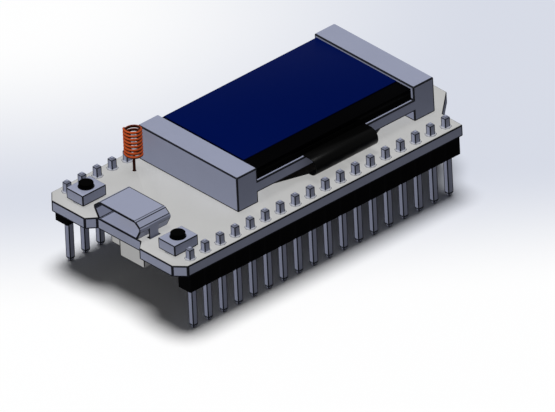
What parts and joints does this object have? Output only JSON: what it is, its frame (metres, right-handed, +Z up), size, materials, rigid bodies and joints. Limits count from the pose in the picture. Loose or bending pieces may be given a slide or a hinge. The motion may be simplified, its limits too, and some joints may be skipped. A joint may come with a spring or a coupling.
{
  "type": "radio development board",
  "caption": "Slim circuit board on header pins, with a small display in a holder, a coil antenna, push buttons, a data socket and a battery socket.",
  "frame": {"origin": "under the middle of the board's outline, level with the tips of the header pins", "axes": "+X from the data socket towards the tongue, +Y towards the left pin row, +Z up out of the display"},
  "size_m": [0.0516, 0.0254, 0.0166],
  "materials": {
    "board_laminate": "light grey lacquered laminate",
    "header_plastic": "black moulded plastic",
    "pin_metal": "satin tinned pins",
    "holder_plastic": "blue-grey moulded plastic",
    "panel_glass": "black-edged panel glass",
    "panel_film": "dark blue polarising film",
    "pad_foam": "black foam tape",
    "chip_resin": "black moulded resin",
    "ribbon_film": "black flexible film",
    "contact_gold": "gold-plated contacts",
    "antenna_copper": "bright copper wire",
    "socket_metal": "satin plated sheet",
    "insulator_plastic": "black moulded plastic",
    "battery_plastic": "warm light grey moulded plastic",
    "battery_tab_metal": "satin tinned sheet",
    "tinned_metal": "satin tinned metal",
    "can_metal": "satin metal can",
    "button_metal": "satin sheet metal",
    "button_plastic": "black moulded plastic",
    "capacitor_ceramic": "tan ceramic",
    "resistor_ceramic": "black glazed ceramic",
    "inductor_ferrite": "dark grey ferrite",
    "light_resin": "milky resin"
  },
  "bodies": {
    "board": {"aerial_socket_base": "battery_plastic", "aerial_socket_pin": "contact_gold", "aerial_socket_ring": "contact_gold", "battery_socket_housing": "battery_plastic", "battery_socket_pins": "tinned_metal", "battery_socket_tabs": "battery_tab_metal", "capacitor_bodies": "capacitor_ceramic", "capacitor_caps": "tinned_metal", "charger_chip": "chip_resin", "charger_chip_leads": "tinned_metal", "circuit_board": "board_laminate", "controller_chip": "chip_resin", "controller_chip_terminals": "tinned_metal", "controller_crystal": "can_metal", "data_bridge_chip": "chip_resin", "data_bridge_chip_terminals": "tinned_metal", "data_socket_contacts": "contact_gold", "data_socket_insulator": "insulator_plastic", "data_socket_shell": "socket_metal", "display_driver_chip": "chip_resin", "display_far_pad": "pad_foam", "display_film": "panel_film", "display_front_glass": "panel_glass", "display_holder": "holder_plastic", "display_near_pad": "pad_foam", "display_rear_glass": "panel_glass", "display_ribbon": "ribbon_film", "display_ribbon_contacts": "contact_gold", "header_pins_left": "pin_metal", "header_pins_right": "pin_metal", "header_strip_left": "header_plastic", "header_strip_right": "header_plastic", "inductor_bodies": "inductor_ferrite", "inductor_caps": "tinned_metal", "left_button_base": "insulator_plastic", "left_button_cover": "button_metal", "left_button_dome": "can_metal", "left_button_terminals": "tinned_metal", "memory_chip": "chip_resin", "memory_chip_leads": "tinned_metal", "radio_chip": "chip_resin", "radio_chip_terminals": "tinned_metal", "radio_crystal": "can_metal", "resistor_bodies": "resistor_ceramic", "resistor_caps": "tinned_metal", "right_button_base": "insulator_plastic", "right_button_cover": "button_metal", "right_button_dome": "can_metal", "right_button_terminals": "tinned_metal", "spring_antenna": "antenna_copper", "status_light_bodies": "light_resin", "status_light_caps": "tinned_metal", "voltage_regulator": "chip_resin", "voltage_regulator_leads": "tinned_metal"},
    "left_button": {"left_button_cap": "button_plastic"},
    "right_button": {"right_button_cap": "button_plastic"}
  },
  "joints": [
    {"name": "left_button_press", "type": "slide", "parent": "board", "child": "left_button", "axis": [0, 0, -1], "range_m": [0, 0.00025], "stiffness_N_per_m": 6400},
    {"name": "right_button_press", "type": "slide", "parent": "board", "child": "right_button", "axis": [0, 0, -1], "range_m": [0, 0.00025], "stiffness_N_per_m": 6400}
  ]
}
